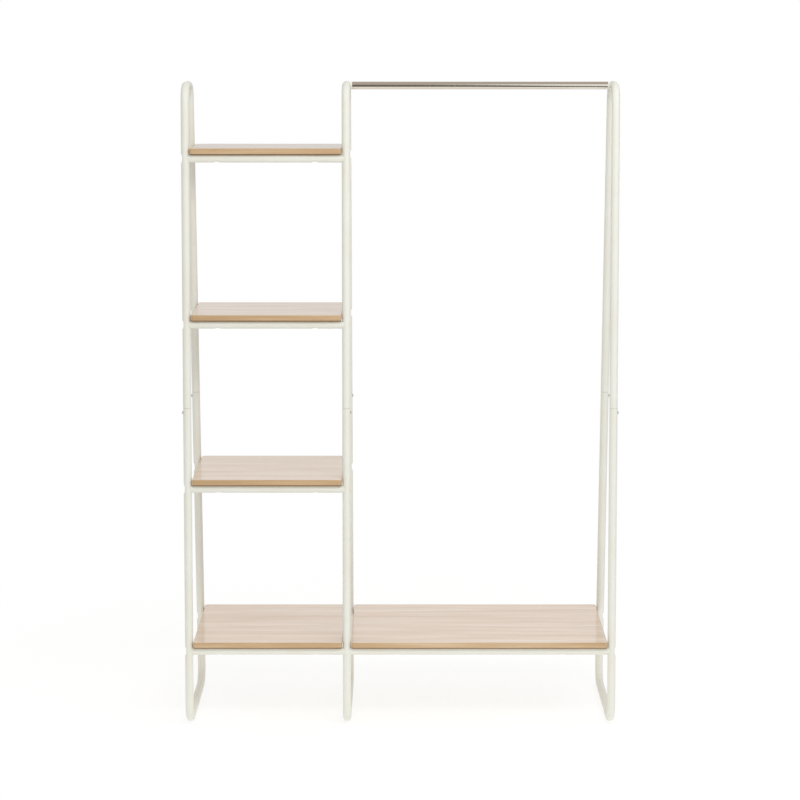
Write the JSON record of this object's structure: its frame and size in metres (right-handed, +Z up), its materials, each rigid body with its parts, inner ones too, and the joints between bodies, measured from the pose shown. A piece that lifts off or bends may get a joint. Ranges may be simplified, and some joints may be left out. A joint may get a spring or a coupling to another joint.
{
  "type": "clothes rack",
  "caption": "Free-standing clothes rack of bent pale tube, with a tower of wood-look shelves at one end and a bright hanging rod over a long low shelf.",
  "frame": {"origin": "on the floor, midway between the left and right frames and between front and rear", "axes": "+Z up, +X to the viewer's right with the shelf tower at -X, +Y to the rear"},
  "size_m": [1.0144, 0.3666, 1.5],
  "materials": {
    "frame_paint": "satin powder coat",
    "board_laminate": "satin pale oak print",
    "rod_chrome": "polished",
    "fastener_steel": "zinc plated",
    "glide_plastic": "moulded"
  },
  "bodies": {
    "root": {"bottom_shelf_board": "board_laminate", "bottom_shelf_front_rail": "frame_paint", "bottom_shelf_rail_inserts": "fastener_steel", "bottom_shelf_rear_rail": "frame_paint", "bottom_shelf_screws": "fastener_steel", "front_glide_left": "glide_plastic", "front_glide_middle": "glide_plastic", "front_glide_right": "glide_plastic", "hanging_rod": "rod_chrome", "joint_screws_left": "fastener_steel", "joint_screws_middle": "fastener_steel", "joint_screws_right": "fastener_steel", "long_shelf_board": "board_laminate", "long_shelf_front_rail": "frame_paint", "long_shelf_rail_inserts": "fastener_steel", "long_shelf_rear_rail": "frame_paint", "long_shelf_screws": "fastener_steel", "lower_frame_left": "frame_paint", "lower_frame_middle": "frame_paint", "lower_frame_right": "frame_paint", "rail_bolts_left": "fastener_steel", "rail_bolts_middle": "fastener_steel", "rail_bolts_right": "fastener_steel", "rail_studs_middle": "fastener_steel", "rear_glide_left": "glide_plastic", "rear_glide_middle": "glide_plastic", "rear_glide_right": "glide_plastic", "rod_bolts": "fastener_steel", "rod_inserts": "fastener_steel", "rod_saddle_middle": "glide_plastic", "rod_saddle_right": "glide_plastic", "second_shelf_board": "board_laminate", "second_shelf_front_rail": "frame_paint", "second_shelf_rail_inserts": "fastener_steel", "second_shelf_rear_rail": "frame_paint", "second_shelf_screws": "fastener_steel", "third_shelf_board": "board_laminate", "third_shelf_front_rail": "frame_paint", "third_shelf_rail_inserts": "fastener_steel", "third_shelf_rear_rail": "frame_paint", "third_shelf_screws": "fastener_steel", "top_shelf_board": "board_laminate", "top_shelf_front_rail": "frame_paint", "top_shelf_rail_inserts": "fastener_steel", "top_shelf_rear_rail": "frame_paint", "top_shelf_screws": "fastener_steel", "upper_frame_left": "frame_paint", "upper_frame_middle": "frame_paint", "upper_frame_right": "frame_paint"}
  },
  "joints": []
}
